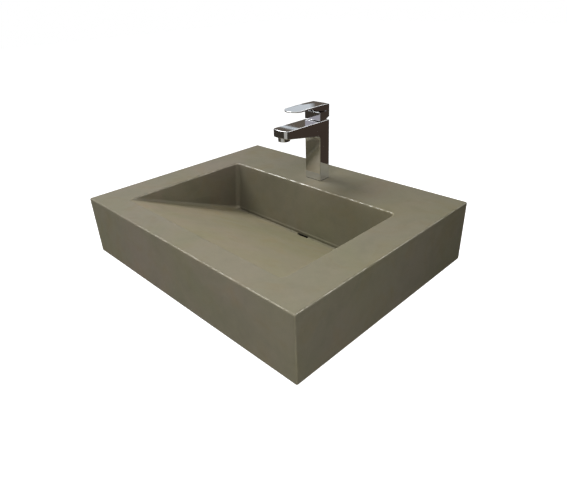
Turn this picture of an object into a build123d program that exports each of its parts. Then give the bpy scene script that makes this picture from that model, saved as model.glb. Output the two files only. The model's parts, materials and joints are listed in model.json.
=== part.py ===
from build123d import *
import math
import os

os.makedirs("parts", exist_ok=True)

# Wall-hung concrete ramp sink with a single-lever mixer tap, all lengths in mm.
# The wall is the plane Y = 0 and the sink reaches out along -Y. +Z is up and +X is to the right for
# someone who stands in front. The origin is the centre of the four wall holes, on the wall.

# Concrete casting: outer block, 24 by 19 by 5 inches
sink_width = 609.6
sink_depth = 482.6
sink_height = 127
deck_thickness = 30
apron_thickness = 25
outer_edge_round = 3
lower_edge_round = 1.5

# Concrete casting: ramp basin
side_border = 76.2
front_border = 50.8
back_border = 133
shell_thickness = 22
floor_thickness = 12.6
back_wall_lean = 8.3
side_wall_lean = 3.3
basin_rim_round = 4
basin_corner_round = 10
ramp_cove_round = 7
pocket_front_gap = 4
rib_overlap = 11

# Gutter and slot outlet at the foot of the back wall
gutter_width = 12
gutter_end_gap = 7
gutter_lip_round = 4
slot_length = 31
slot_width = 8
slot_corner_round = 1.5
slot_offset = 8

# Steel wall frame: rail, two arms and their gussets
rail_height = 60
rail_thickness = 6
rail_end_gap = 2.8
rail_corner_round = 4
bolt_spacing_x = 406.4
bolt_spacing_z = 30
bolt_hole_diameter = 11
arm_width = 20
arm_height = 40
arm_wall = 2
arm_front_gap = 32
gusset_thickness = 5
gusset_length = 60
cap_plug_depth = 12
cap_head_thickness = 2
plug_clearance = 0.2

# What fixes the casting to the arms
pad_thickness = 3
pad_length = 50
fixing_back_inset = 80
fixing_front_inset = 95
screw_diameter = 8
screw_clearance = 0.5
screw_head_flats = 13
screw_head_height = 5.3
screw_engagement = 14
washer_diameter = 17
washer_thickness = 1.6
insert_diameter = 12
insert_length = 18
insert_thread_clearance = 0.05

# Slot drain under the casting
drain_gasket_thickness = 1.5
drain_flange_length = 72
drain_flange_width = 40
drain_flange_thickness = 5
drain_flange_round = 6
drain_mouth_margin = 1
hopper_wall = 3
hopper_height = 22
hopper_end_flat = 0.2
spigot_diameter = 38
spigot_bore = 27
spigot_length = 16
drain_screw_diameter = 5
drain_screw_length = 11
drain_screw_head_diameter = 9
drain_screw_head_height = 3
drain_insert_diameter = 7
drain_insert_length = 8
drain_screw_inset = 7
drain_thread_clearance = 0.05

# Tailpiece and its slip joint
tailpiece_diameter = 31.75
tailpiece_wall = 1.2
tailpiece_length = 110
tailpiece_lip_diameter = 37
tailpiece_lip_thickness = 1.5
slip_washer_thickness = 2
slip_nut_diameter = 47
slip_nut_wrap = 11
slip_nut_lip = 3
slip_nut_clearance = 0.3
slip_nut_hole_clearance = 1
slip_nut_ribs = 12
slip_nut_rib_depth = 1.6

# Tap: side profiles run this far past the plan outline that trims them
trim_margin = 5

# Tap: cast column and spout
tap_offset = -10
tap_setback = 81.6
tap_width = 43
tap_depth = 30
tap_hole_diameter = 26
base_gasket_thickness = 1
base_gasket_inset = 0.6
spout_top = 131
spout_reach = 99
spout_root_height = 31
spout_tip_height = 15.4
spout_root_round = 8
spout_tip_bulge = 4
spout_tip_round = 7
column_edge_round = 1.2
spout_edge_round = 0.8

# Tap: water ways, inlets and stud
inlet_spread = 6.5
inlet_forward = 3
inlet_thread_diameter = 9
inlet_thread_depth = 12
inlet_drill_diameter = 8.5
inlet_drill_depth = 28
inlet_bore_diameter = 5.6
stud_back = 7.5
stud_diameter = 8
stud_depth = 14
stud_below_deck = 24
channel_width = 16
channel_rear_height = 5
channel_front_height = 7
channel_floor_gap = 3.4
channel_overrun = 4

# Tap: clamping set under the deck
clamp_diameter = 46
clamp_rubber_thickness = 2
clamp_plate_thickness = 3
clamp_mouth_width = 27
clamp_mouth_back = 2
clamp_nut_flats = 13
clamp_nut_height = 9
stud_clearance = 0.05

# Ceramic cartridge
chamber_diameter = 25.4
cartridge_diameter = 25
cartridge_base_height = 4
port_diameter = 4.4
port_slot_width = 3
port_slot_height = 1.2
port_seal_section = 1.8
port_seal_diameter = 8.6
port_seal_gap = 0.05
outlet_groove_width = 3.8
fixed_disc_height = 3
disc_diameter = 21.6
disc_port_diameter = 3
disc_port_spread = 4.4
disc_port_forward = 1.2
disc_outlet_diameter = 3.8
disc_outlet_back = 3.2
disc_gap = 0.3
moving_disc_height = 2.7
moving_disc_diameter = 16.8
moving_disc_back = 2.45
disc_pocket_length = 10
disc_pocket_width = 5.6
disc_pocket_depth = 1.4
disc_pocket_back = 5
disc_carrier_height = 2.3
cavity_diameter = 22
guide_diameter = 18
guide_clearance = 0.1
guide_flange_diameter = 21.4
guide_flange_height = 2.1
guide_slot_forward = 7.8
guide_slot_back = 2.7
guide_top_gap = 0.4
cartridge_shell_height = 20
nut_height = 3.8
nut_top_gap = 0.2
nut_inner_diameter = 18.8
nut_outer_gap = 0.05
nut_notch_width = 4
nut_notch_depth = 1.6

# Stem that tilts in the cartridge
pivot_depth = 3
tilt_limit = 22
stem_side = 8
stem_slot_clearance = 0.2
stem_edge_round = 0.5
stem_flange_clearance = 1.3
stem_top_gap = 1
peg_diameter = 4.4
peg_floor_gap = 0.5
peg_hole_diameter = 6.4
pin_diameter = 3
pin_running_clearance = 0.05
pin_press_clearance = 0.01
pin_length = 16.6

# Handle: block and lever in one casting
handle_gap = 1.2
handle_swing_clearance = 0.35
block_height = 17.8
lever_root = 5
lever_root_gap = 1
lever_curve_rise = 3.5
lever_rise = 14
lever_crown = 0.8
lever_tip_drop = 0.8
lever_tip_reach = 87
lever_shoulder_reach = 73
lever_thickness = 4
lever_tip_thickness = 2.6
lever_plate_start = 38
lever_rear_round = 3
lever_corner_round = 5
handle_edge_round = 0.8
handle_wall = 3
handle_pocket_depth = 8
handle_boss_side = 14
socket_clearance = 0.15
socket_roof = 2
grub_diameter = 5
grub_length = 6
grub_rise = 11.3
grub_clearance = 0.05
plug_diameter = 7
plug_thickness = 2

# Aerator in the tip of the spout
aerator_setback = 14
aerator_diameter = 24.5
aerator_drop = 8.6
aerator_roof_gap = 0.2
aerator_neck_diameter = 21.8
aerator_neck_height = 6
aerator_bore_diameter = 18
aerator_clearance = 0.1
aerator_flats = 23.4
aerator_flats_height = 4
aerator_insert_clearance = 0.1
aerator_insert_inset = 0.5
aerator_insert_thickness = 6
aerator_hole_diameter = 1.8
aerator_hole_pitch = 2.9
aerator_washer_thickness = 1.5

# Levels and places that follow from the sizes
basin_width = sink_width - 2 * side_border
deck_top = rail_height / 2 + pad_thickness + deck_thickness
deck_under = deck_top - deck_thickness
sink_bottom = deck_top - sink_height
front_face = -sink_depth
crease_y = front_face + front_border
rim_y = -back_border
wall_foot_y = rim_y - (sink_height - floor_thickness) * math.tan(math.radians(back_wall_lean))
ramp_slope = (sink_height - floor_thickness) / (wall_foot_y - crease_y)
shell_drop = shell_thickness * math.sqrt(1 + ramp_slope**2)
pocket_front = front_face + apron_thickness + pocket_front_gap
shell_back = rim_y + shell_thickness
arm_x = (basin_width / 2 + shell_thickness + sink_width / 2 - apron_thickness) / 2
arm_front = front_face + apron_thickness + arm_front_gap
arm_top = deck_under - pad_thickness
fixing_ys = (-fixing_back_inset, front_face + fixing_front_inset)
fixing_points = [(side * arm_x, y) for side in (-1, 1) for y in fixing_ys]
slot_y = wall_foot_y - slot_width / 2
gutter_y = wall_foot_y - gutter_width / 2
outlet = Plane(origin=(slot_offset, slot_y, sink_bottom))
drain_screw_spread = drain_flange_length - 2 * drain_screw_inset
drain_screw_rows = drain_flange_width - 2 * drain_screw_inset
spout_root_underside = spout_top - spout_root_height
spout_tip_underside = spout_top - spout_tip_height
aerator_bottom = spout_tip_underside - aerator_drop
shell_top_level = spout_top - nut_top_gap - nut_height
base_level = shell_top_level - cartridge_shell_height
seat_height = base_level - cartridge_base_height
pivot_height = spout_top - pivot_depth
block_bottom = spout_top + handle_gap
block_top = block_bottom + block_height
lever_top = block_top + lever_rise
tap_origin = (tap_offset, -tap_setback, deck_top)
tap = Plane(origin=tap_origin)
tap_side = Plane(origin=tap_origin, x_dir=(0, 1, 0), z_dir=(1, 0, 0))
sink_side = Plane(origin=(0, 0, 0), x_dir=(0, 1, 0), z_dir=(1, 0, 0))
grub_face = Plane(
    origin=(tap_offset, tap_depth / 2 - tap_setback, deck_top + block_bottom + grub_rise),
    x_dir=(1, 0, 0),
    z_dir=(0, -1, 0),
)


def ramp_height(y):
    return deck_top - (y - crease_y) * ramp_slope


# Concrete casting
pocket_depth = sink_height - floor_thickness / 2
pocket_back = rim_y - pocket_depth * math.tan(math.radians(back_wall_lean))
pocket_narrowing = 2 * pocket_depth * math.tan(math.radians(side_wall_lean))
shell_start_y = crease_y + (deck_thickness - shell_drop) / ramp_slope
shell_foot_y = crease_y + (sink_height - shell_drop) / ramp_slope
gutter_length = basin_width - pocket_narrowing - 2 * gutter_end_gap
# Pocket of the basin, which the block is cut by: its back wall and its side walls lean
with BuildPart() as basin_pocket:
    with BuildSketch(sink_side):
        with BuildLine():
            Polyline(
                (pocket_front, deck_top),
                (rim_y, deck_top),
                (pocket_back, deck_top - pocket_depth),
                (pocket_front, deck_top - pocket_depth),
                close=True,
            )
        make_face()
    extrude(amount=basin_width / 2, both=True)
    with BuildSketch(Plane.XZ):
        with BuildLine():
            Polyline(
                (-basin_width / 2, deck_top),
                (basin_width / 2, deck_top),
                ((basin_width - pocket_narrowing) / 2, deck_top - pocket_depth),
                (-(basin_width - pocket_narrowing) / 2, deck_top - pocket_depth),
                close=True,
            )
        make_face()
    extrude(amount=sink_depth, mode=Mode.INTERSECT)

with BuildPart() as sink_basin:
    with BuildSketch(Plane.XY.offset(sink_bottom)):
        with Locations((0, front_face / 2)):
            Rectangle(sink_width, sink_depth)
    extrude(amount=sink_height)
    fillet(sink_basin.edges().filter_by(Axis.Z).group_by(Axis.Y)[0], outer_edge_round)
    # hollow underside, open to the wall
    with BuildSketch(Plane.XY.offset(sink_bottom)):
        with Locations((0, (front_face + apron_thickness) / 2)):
            Rectangle(sink_width - 2 * apron_thickness, sink_depth - apron_thickness)
    extrude(amount=sink_height - deck_thickness, mode=Mode.SUBTRACT)
    # walls of the basin, which follow the ramp underneath
    with BuildSketch(sink_side):
        with BuildLine():
            Polyline(
                (shell_start_y, deck_under),
                (shell_foot_y, sink_bottom),
                (shell_back, sink_bottom),
                (shell_back, deck_under),
                close=True,
            )
        make_face()
    extrude(amount=basin_width / 2 + shell_thickness, both=True)
    # pocket with leaning walls, and its corners
    add(basin_pocket.part, mode=Mode.SUBTRACT)
    inner_corners = sink_basin.edges().filter_by(
        lambda e: abs(e.tangent_at(0.5).Z) > 0.9 and pocket_back < e.center().Y < rim_y
    )
    fillet(inner_corners, basin_corner_round)
    # ramp from the front crease down to the back wall
    ramp_end = rim_y + basin_rim_round
    with BuildSketch(sink_side):
        with BuildLine():
            Polyline(
                (pocket_front - pocket_front_gap / 2, deck_top),
                (crease_y, deck_top),
                (ramp_end, ramp_height(ramp_end)),
                (ramp_end, sink_bottom),
                (shell_foot_y, sink_bottom),
                (shell_start_y, deck_under),
                (pocket_front - pocket_front_gap / 2, deck_under),
                close=True,
            )
        make_face()
    extrude(amount=basin_width / 2 + rib_overlap, both=True)
    ramp_sides = sink_basin.edges().filter_by(
        lambda e: abs(e.tangent_at(0.5).Y) > 0.8
        and (basin_width - pocket_narrowing) / 2 < abs(e.center().X) < basin_width / 2
        and sink_bottom + floor_thickness < e.center().Z < deck_top - basin_rim_round - 1
    )
    fillet(ramp_sides, ramp_cove_round)
    # rim, which runs on along the crease
    rim = sink_basin.edges().filter_by(
        lambda e: abs(e.center().Z - deck_top) < 0.01
        and abs(e.center().X) < basin_width / 2 + 1
        and crease_y - 1 < e.center().Y < rim_y + 1
    )
    fillet(rim, basin_rim_round)
    # gutter along the foot of the back wall, with round ends, and its slot outlet
    with BuildSketch(Plane.XY.offset(sink_bottom + floor_thickness)):
        with Locations((0, gutter_y)):
            SlotOverall(gutter_length, gutter_width)
    extrude(amount=sink_height / 3, mode=Mode.SUBTRACT)
    with BuildSketch(outlet):
        RectangleRounded(slot_length, slot_width, slot_corner_round)
    extrude(amount=sink_height / 3, mode=Mode.SUBTRACT)
    # hole for the tap
    with BuildSketch(tap):
        Circle(tap_hole_diameter / 2)
    extrude(amount=-deck_thickness, mode=Mode.SUBTRACT)
    # pockets of the cast-in bushes
    with BuildSketch(Plane.XY.offset(deck_under)):
        with Locations(*fixing_points):
            Circle(insert_diameter / 2)
    extrude(amount=insert_length, mode=Mode.SUBTRACT)
    with BuildSketch(outlet):
        with GridLocations(drain_screw_spread, drain_screw_rows, 2, 2):
            Circle(drain_insert_diameter / 2)
    extrude(amount=drain_insert_length, mode=Mode.SUBTRACT)
    # eased edges: gutter lip, top and bottom of the block
    lip = sink_basin.edges().filter_by(
        lambda e: abs(e.tangent_at(0.5).X) > 0.99
        and e.length > gutter_length / 2
        and abs(e.center().Y - (gutter_y - gutter_width / 2)) < 0.1
        and e.center().Z > sink_bottom + floor_thickness + 1
    )
    fillet(lip, gutter_lip_round)
    outer_edges = sink_basin.edges().filter_by(
        lambda e: abs(e.center().X) > sink_width / 2 - outer_edge_round
        or e.center().Y < front_face + outer_edge_round
    )
    fillet(outer_edges.group_by(Axis.Z)[-1], outer_edge_round)
    fillet(outer_edges.group_by(Axis.Z)[0], lower_edge_round)
sink_basin.part.label = "sink_basin"
export_step(sink_basin.part, "parts/sink_basin.step")

# Bushes cast into the deck, one above each arm screw
with BuildPart() as cast_inserts:
    with BuildSketch(Plane.XY.offset(deck_under)):
        with Locations(*fixing_points):
            Circle(insert_diameter / 2)
            Circle(screw_diameter / 2 + insert_thread_clearance, mode=Mode.SUBTRACT)
    extrude(amount=insert_length)
cast_inserts.part.label = "cast_inserts"
export_step(cast_inserts.part, "parts/cast_inserts.step")

# Wall rail
rail_length = sink_width - 2 * (apron_thickness + rail_end_gap)
wall = Plane(origin=(0, 0, 0), x_dir=(1, 0, 0), z_dir=(0, -1, 0))
with BuildPart() as wall_rail:
    with BuildSketch(wall):
        RectangleRounded(rail_length, rail_height, rail_corner_round)
        with GridLocations(bolt_spacing_x, bolt_spacing_z, 2, 2):
            Circle(bolt_hole_diameter / 2, mode=Mode.SUBTRACT)
    extrude(amount=rail_thickness)
wall_rail.part.label = "wall_rail"
export_step(wall_rail.part, "parts/wall_rail.step")

# Arms, box section, welded to the rail
arm_length = -arm_front - rail_thickness
for name, side in (("arm_left", -1), ("arm_right", 1)):
    arm_end = Plane(
        origin=(side * arm_x, -rail_thickness, arm_top - arm_height / 2),
        x_dir=(1, 0, 0),
        z_dir=(0, -1, 0),
    )
    with BuildPart() as arm:
        with BuildSketch(arm_end):
            RectangleRounded(arm_width, arm_height, 2 * arm_wall)
            offset(amount=-arm_wall, mode=Mode.SUBTRACT)
        extrude(amount=arm_length)
        with BuildSketch(Plane.XY.offset(arm_top - arm_height)):
            with Locations(*[(side * arm_x, y) for y in fixing_ys]):
                Circle(screw_diameter / 2 + screw_clearance)
        extrude(amount=arm_height, mode=Mode.SUBTRACT)
    arm.part.label = name
    export_step(arm.part, f"parts/{name}.step")

# Gussets in the corner under each arm
with BuildPart() as arm_gussets:
    for side in (-1, 1):
        gusset_plane = Plane(origin=(side * arm_x, 0, 0), x_dir=(0, 1, 0), z_dir=(1, 0, 0))
        with BuildSketch(gusset_plane):
            with BuildLine():
                Polyline(
                    (-rail_thickness, arm_top - arm_height),
                    (-rail_thickness - gusset_length, arm_top - arm_height),
                    (-rail_thickness, -rail_height / 2),
                    close=True,
                )
            make_face()
        extrude(amount=gusset_thickness / 2, both=True)
arm_gussets.part.label = "arm_gussets"
export_step(arm_gussets.part, "parts/arm_gussets.step")

# Plastic caps in the open front ends of the arms
with BuildPart() as arm_end_caps:
    for side in (-1, 1):
        cap_plane = Plane(
            origin=(side * arm_x, arm_front, arm_top - arm_height / 2), x_dir=(1, 0, 0), z_dir=(0, -1, 0)
        )
        with BuildSketch(cap_plane):
            RectangleRounded(arm_width, arm_height, 2 * arm_wall)
        extrude(amount=cap_head_thickness)
        with BuildSketch(cap_plane):
            RectangleRounded(
                arm_width - 2 * arm_wall - 2 * plug_clearance,
                arm_height - 2 * arm_wall - 2 * plug_clearance,
                arm_wall,
            )
        extrude(amount=-cap_plug_depth)
arm_end_caps.part.label = "arm_end_caps"
export_step(arm_end_caps.part, "parts/arm_end_caps.step")

# Rubber pads between the arms and the deck
with BuildPart() as support_pads:
    with BuildSketch(Plane.XY.offset(arm_top)):
        with Locations(*fixing_points):
            RectangleRounded(arm_width, pad_length, arm_wall)
            Circle(screw_diameter / 2 + screw_clearance, mode=Mode.SUBTRACT)
    extrude(amount=pad_thickness)
support_pads.part.label = "support_pads"
export_step(support_pads.part, "parts/support_pads.step")

# Washers and screws that pull the casting down onto the arms
arm_bottom = arm_top - arm_height
with BuildPart() as fixing_washers:
    with BuildSketch(Plane.XY.offset(arm_bottom)):
        with Locations(*fixing_points):
            Circle(washer_diameter / 2)
            Circle(screw_diameter / 2 + screw_clearance, mode=Mode.SUBTRACT)
    extrude(amount=-washer_thickness)
fixing_washers.part.label = "fixing_washers"
export_step(fixing_washers.part, "parts/fixing_washers.step")

head_top = arm_bottom - washer_thickness
with BuildPart() as fixing_screws:
    with BuildSketch(Plane.XY.offset(head_top)):
        with Locations(*fixing_points):
            RegularPolygon(screw_head_flats / 2, 6, major_radius=False)
    extrude(amount=-screw_head_height)
    with BuildSketch(Plane.XY.offset(head_top)):
        with Locations(*fixing_points):
            Circle(screw_diameter / 2)
    extrude(amount=deck_under + screw_engagement - head_top)
fixing_screws.part.label = "fixing_screws"
export_step(fixing_screws.part, "parts/fixing_screws.step")

# Drain: gasket, flanged hopper and the screws that hold it
drain_hole_length = slot_length + 2 * drain_mouth_margin
drain_hole_width = slot_width + 2 * drain_mouth_margin
with BuildPart() as drain_gasket:
    with BuildSketch(outlet):
        RectangleRounded(drain_flange_length, drain_flange_width, drain_flange_round)
        RectangleRounded(drain_hole_length, drain_hole_width, slot_corner_round, mode=Mode.SUBTRACT)
        with GridLocations(drain_screw_spread, drain_screw_rows, 2, 2):
            Circle(drain_screw_diameter / 2 + screw_clearance, mode=Mode.SUBTRACT)
    extrude(amount=-drain_gasket_thickness)
drain_gasket.part.label = "drain_gasket"
export_step(drain_gasket.part, "parts/drain_gasket.step")

flange_plane = outlet.offset(-drain_gasket_thickness)
flange_under = flange_plane.offset(-drain_flange_thickness)
hopper_end = flange_under.offset(-hopper_height)
spigot_end = hopper_end.offset(-spigot_length)
with BuildPart() as drain_body:
    with BuildSketch(flange_plane):
        RectangleRounded(drain_flange_length, drain_flange_width, drain_flange_round)
        with GridLocations(drain_screw_spread, drain_screw_rows, 2, 2):
            Circle(drain_screw_diameter / 2 + screw_clearance, mode=Mode.SUBTRACT)
    extrude(amount=-drain_flange_thickness)
    with BuildSketch(flange_under):
        RectangleRounded(drain_hole_length + 2 * hopper_wall, drain_hole_width + 2 * hopper_wall, 3)
    with BuildSketch(hopper_end):
        RectangleRounded(spigot_diameter, spigot_diameter, (spigot_diameter - hopper_end_flat) / 2)
    loft()
    with BuildSketch(hopper_end):
        Circle(spigot_diameter / 2)
    extrude(amount=-spigot_length)
    with BuildSketch(flange_plane):
        RectangleRounded(drain_hole_length, drain_hole_width, slot_corner_round)
    extrude(amount=-drain_flange_thickness, mode=Mode.SUBTRACT)
    with BuildSketch(flange_under):
        RectangleRounded(drain_hole_length, drain_hole_width, slot_corner_round)
    with BuildSketch(hopper_end):
        RectangleRounded(spigot_bore, spigot_bore, (spigot_bore - hopper_end_flat) / 2)
    loft(mode=Mode.SUBTRACT)
    with BuildSketch(hopper_end):
        Circle(spigot_bore / 2)
    extrude(amount=-spigot_length, mode=Mode.SUBTRACT)
drain_body.part.label = "drain_body"
export_step(drain_body.part, "parts/drain_body.step")

drain_screw_under = flange_under.offset(-drain_screw_head_height)
with BuildPart() as drain_screws:
    with BuildSketch(drain_screw_under):
        with GridLocations(drain_screw_spread, drain_screw_rows, 2, 2):
            Circle(drain_screw_head_diameter / 2)
    extrude(amount=drain_screw_head_height)
    with BuildSketch(flange_under):
        with GridLocations(drain_screw_spread, drain_screw_rows, 2, 2):
            Circle(drain_screw_diameter / 2)
    extrude(amount=drain_screw_length)
    with BuildSketch(drain_screw_under):
        with GridLocations(drain_screw_spread, drain_screw_rows, 2, 2):
            RegularPolygon(drain_screw_head_diameter / 4, 6)
    extrude(amount=drain_screw_head_height / 2, mode=Mode.SUBTRACT)
drain_screws.part.label = "drain_screws"
export_step(drain_screws.part, "parts/drain_screws.step")

with BuildPart() as drain_inserts:
    with BuildSketch(outlet):
        with GridLocations(drain_screw_spread, drain_screw_rows, 2, 2):
            Circle(drain_insert_diameter / 2)
            Circle(drain_screw_diameter / 2 + drain_thread_clearance, mode=Mode.SUBTRACT)
    extrude(amount=drain_insert_length)
drain_inserts.part.label = "drain_inserts"
export_step(drain_inserts.part, "parts/drain_inserts.step")

# Slip joint: washer, tailpiece with its rolled lip, and nut
with BuildPart() as slip_washer:
    with BuildSketch(spigot_end):
        Circle(spigot_diameter / 2)
        Circle(spigot_bore / 2, mode=Mode.SUBTRACT)
    extrude(amount=-slip_washer_thickness)
slip_washer.part.label = "slip_washer"
export_step(slip_washer.part, "parts/slip_washer.step")

lip_plane = spigot_end.offset(-slip_washer_thickness)
with BuildPart() as tailpiece:
    with BuildSketch(lip_plane):
        Circle(tailpiece_lip_diameter / 2)
    extrude(amount=-tailpiece_lip_thickness)
    with BuildSketch(lip_plane):
        Circle(tailpiece_diameter / 2)
    extrude(amount=-tailpiece_length)
    with BuildSketch(lip_plane):
        Circle(tailpiece_diameter / 2 - tailpiece_wall)
    extrude(amount=-tailpiece_length, mode=Mode.SUBTRACT)
tailpiece.part.label = "tailpiece"
export_step(tailpiece.part, "parts/tailpiece.step")

nut_shoulder = lip_plane.offset(-tailpiece_lip_thickness)
nut_bottom = nut_shoulder.offset(-slip_nut_lip)
nut_wrap_height = slip_washer_thickness + tailpiece_lip_thickness + slip_nut_wrap
with BuildPart() as slip_nut:
    with BuildSketch(nut_bottom):
        Circle(slip_nut_diameter / 2)
        with PolarLocations(slip_nut_diameter / 2, slip_nut_ribs):
            Circle(slip_nut_rib_depth, mode=Mode.SUBTRACT)
    extrude(amount=slip_nut_lip + nut_wrap_height)
    with BuildSketch(nut_shoulder):
        Circle(spigot_diameter / 2 + slip_nut_clearance)
    extrude(amount=nut_wrap_height, mode=Mode.SUBTRACT)
    with BuildSketch(nut_bottom):
        Circle(tailpiece_diameter / 2 + slip_nut_hole_clearance)
    extrude(amount=slip_nut_lip, mode=Mode.SUBTRACT)
slip_nut.part.label = "slip_nut"
export_step(slip_nut.part, "parts/slip_nut.step")

# Tap body: column and spout in one casting
aerator_y = aerator_setback - tap_depth / 2 - spout_reach
spout_tip_y = -tap_depth / 2 - spout_reach
spout_slope = (spout_tip_underside - spout_root_underside) / spout_reach
aerator_plane = Plane(origin=(tap_offset, aerator_y - tap_setback, deck_top + aerator_bottom))
aerator_neck_base = spout_tip_underside - aerator_roof_gap - aerator_bottom
aerator_neck_top = aerator_neck_base + aerator_neck_height
inlet_points = [(side * inlet_spread, -inlet_forward) for side in (-1, 1)]
chamber_radius = chamber_diameter / 2
with BuildPart() as tap_body:
    with BuildSketch(tap_side):
        with BuildLine():
            Polyline(
                (tap_depth / 2, base_gasket_thickness),
                (tap_depth / 2, spout_top),
                (spout_tip_y - trim_margin, spout_top),
                (spout_tip_y - trim_margin, spout_tip_underside + trim_margin * spout_slope),
                (-tap_depth / 2, spout_root_underside),
                (-tap_depth / 2, base_gasket_thickness),
                close=True,
            )
        make_face()
    extrude(amount=tap_width / 2, both=True)
    spout_root = tap_body.edges().filter_by(Axis.X).sort_by_distance(
        (tap_offset, -tap_depth / 2 - tap_setback, spout_root_underside + deck_top)
    )[0]
    fillet(spout_root, spout_root_round)
    # plan outline, with a bowed tip
    with BuildSketch(tap) as tap_plan:
        with BuildLine():
            shoulder_y = spout_tip_y + spout_tip_bulge
            Line((tap_width / 2, shoulder_y), (tap_width / 2, tap_depth / 2))
            Line((tap_width / 2, tap_depth / 2), (-tap_width / 2, tap_depth / 2))
            Line((-tap_width / 2, tap_depth / 2), (-tap_width / 2, shoulder_y))
            ThreePointArc((-tap_width / 2, shoulder_y), (0, spout_tip_y), (tap_width / 2, shoulder_y))
        make_face()
        fillet(tap_plan.vertices().group_by(Axis.Y)[0], spout_tip_round)
        fillet(tap_plan.vertices().group_by(Axis.Y)[-1], column_edge_round)
    extrude(amount=spout_top + base_gasket_thickness, mode=Mode.INTERSECT)
    column_front = tap_body.edges().filter_by(
        lambda e: abs(e.tangent_at(0.5).Z) > 0.99
        and abs(e.center().Y + tap_setback + tap_depth / 2) < 0.1
        and e.center().Z < deck_top + spout_root_underside
    )
    fillet(column_front, column_edge_round)
    top_edges = tap_body.edges().filter_by(lambda e: abs(e.center().Z - deck_top - spout_top) < 0.01)
    fillet(top_edges, spout_edge_round)
    # chamber of the cartridge
    with BuildSketch(tap.offset(seat_height)):
        Circle(chamber_radius)
    extrude(amount=spout_top - seat_height, mode=Mode.SUBTRACT)
    # inlets and stud hole in the foot, water ways up to the seat
    foot = tap.offset(base_gasket_thickness)
    with BuildSketch(foot):
        with Locations(*inlet_points):
            Circle(inlet_bore_diameter / 2)
    extrude(amount=seat_height - base_gasket_thickness, mode=Mode.SUBTRACT)
    with BuildSketch(foot):
        with Locations(*inlet_points):
            Circle(inlet_drill_diameter / 2)
    extrude(amount=inlet_drill_depth, mode=Mode.SUBTRACT)
    with BuildSketch(foot):
        with Locations(*inlet_points):
            Circle(inlet_thread_diameter / 2)
    extrude(amount=inlet_thread_depth, mode=Mode.SUBTRACT)
    with BuildSketch(foot):
        with Locations((0, stud_back)):
            Circle(stud_diameter / 2 + stud_clearance)
    extrude(amount=stud_depth, mode=Mode.SUBTRACT)
    # channel from the chamber to the aerator
    channel_start = -chamber_radius + 2
    channel_end = aerator_y - channel_overrun
    channel_end_floor = spout_tip_underside + channel_floor_gap
    with BuildSketch(tap_side):
        with BuildLine():
            Polyline(
                (channel_start, seat_height),
                (channel_end, channel_end_floor),
                (channel_end, channel_end_floor + channel_front_height),
                (channel_start, seat_height + channel_rear_height),
                close=True,
            )
        make_face()
    extrude(amount=channel_width / 2, both=True, mode=Mode.SUBTRACT)
    # seat of the aerator
    with BuildSketch(aerator_plane):
        Circle(aerator_neck_diameter / 2 + aerator_clearance)
    extrude(amount=aerator_neck_top + aerator_washer_thickness + aerator_clearance, mode=Mode.SUBTRACT)
    with BuildSketch(aerator_plane):
        Circle(aerator_diameter / 2 + aerator_clearance)
    extrude(amount=aerator_neck_base + aerator_roof_gap, mode=Mode.SUBTRACT)
tap_body.part.label = "tap_body"
export_step(tap_body.part, "parts/tap_body.step")

# What holds the tap in the deck
with BuildPart() as base_gasket:
    with BuildSketch(tap):
        RectangleRounded(
            tap_width - 2 * base_gasket_inset, tap_depth - 2 * base_gasket_inset, column_edge_round
        )
        Circle(tap_hole_diameter / 2, mode=Mode.SUBTRACT)
    extrude(amount=base_gasket_thickness)
base_gasket.part.label = "base_gasket"
export_step(base_gasket.part, "parts/base_gasket.step")

stud_bottom = -deck_thickness - stud_below_deck
with BuildPart() as mounting_stud:
    with BuildSketch(tap.offset(stud_bottom)):
        with Locations((0, stud_back)):
            Circle(stud_diameter / 2)
    extrude(amount=base_gasket_thickness + stud_depth - stud_bottom)
mounting_stud.part.label = "mounting_stud"
export_step(mounting_stud.part, "parts/mounting_stud.step")

clamp_levels = (
    ("clamp_rubber", -deck_thickness, clamp_rubber_thickness),
    ("clamp_plate", -deck_thickness - clamp_rubber_thickness, clamp_plate_thickness),
)
for name, level, thickness in clamp_levels:
    with BuildPart() as horseshoe:
        with BuildSketch(tap.offset(level)):
            Circle(clamp_diameter / 2)
            with Locations((0, clamp_mouth_back - clamp_diameter / 2)):
                Rectangle(clamp_mouth_width, clamp_diameter, mode=Mode.SUBTRACT)
            with Locations((0, stud_back)):
                Circle(stud_diameter / 2 + stud_clearance, mode=Mode.SUBTRACT)
        extrude(amount=-thickness)
    horseshoe.part.label = name
    export_step(horseshoe.part, f"parts/{name}.step")

nut_top = -deck_thickness - clamp_rubber_thickness - clamp_plate_thickness
with BuildPart() as clamp_nut:
    with BuildSketch(tap.offset(nut_top)):
        with Locations((0, stud_back)):
            RegularPolygon(clamp_nut_flats / 2, 6, major_radius=False)
            Circle(stud_diameter / 2 + stud_clearance, mode=Mode.SUBTRACT)
    extrude(amount=-clamp_nut_height)
clamp_nut.part.label = "clamp_nut"
export_step(clamp_nut.part, "parts/clamp_nut.step")

# Levels in the cartridge, above the deck
disc_level = base_level + fixed_disc_height + disc_gap
carrier_level = disc_level + moving_disc_height
guide_level = carrier_level + disc_carrier_height + disc_gap
shoulder_level = guide_level + guide_flange_height
stem_foot_level = shoulder_level + stem_flange_clearance
peg_foot_level = carrier_level + peg_floor_gap

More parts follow.
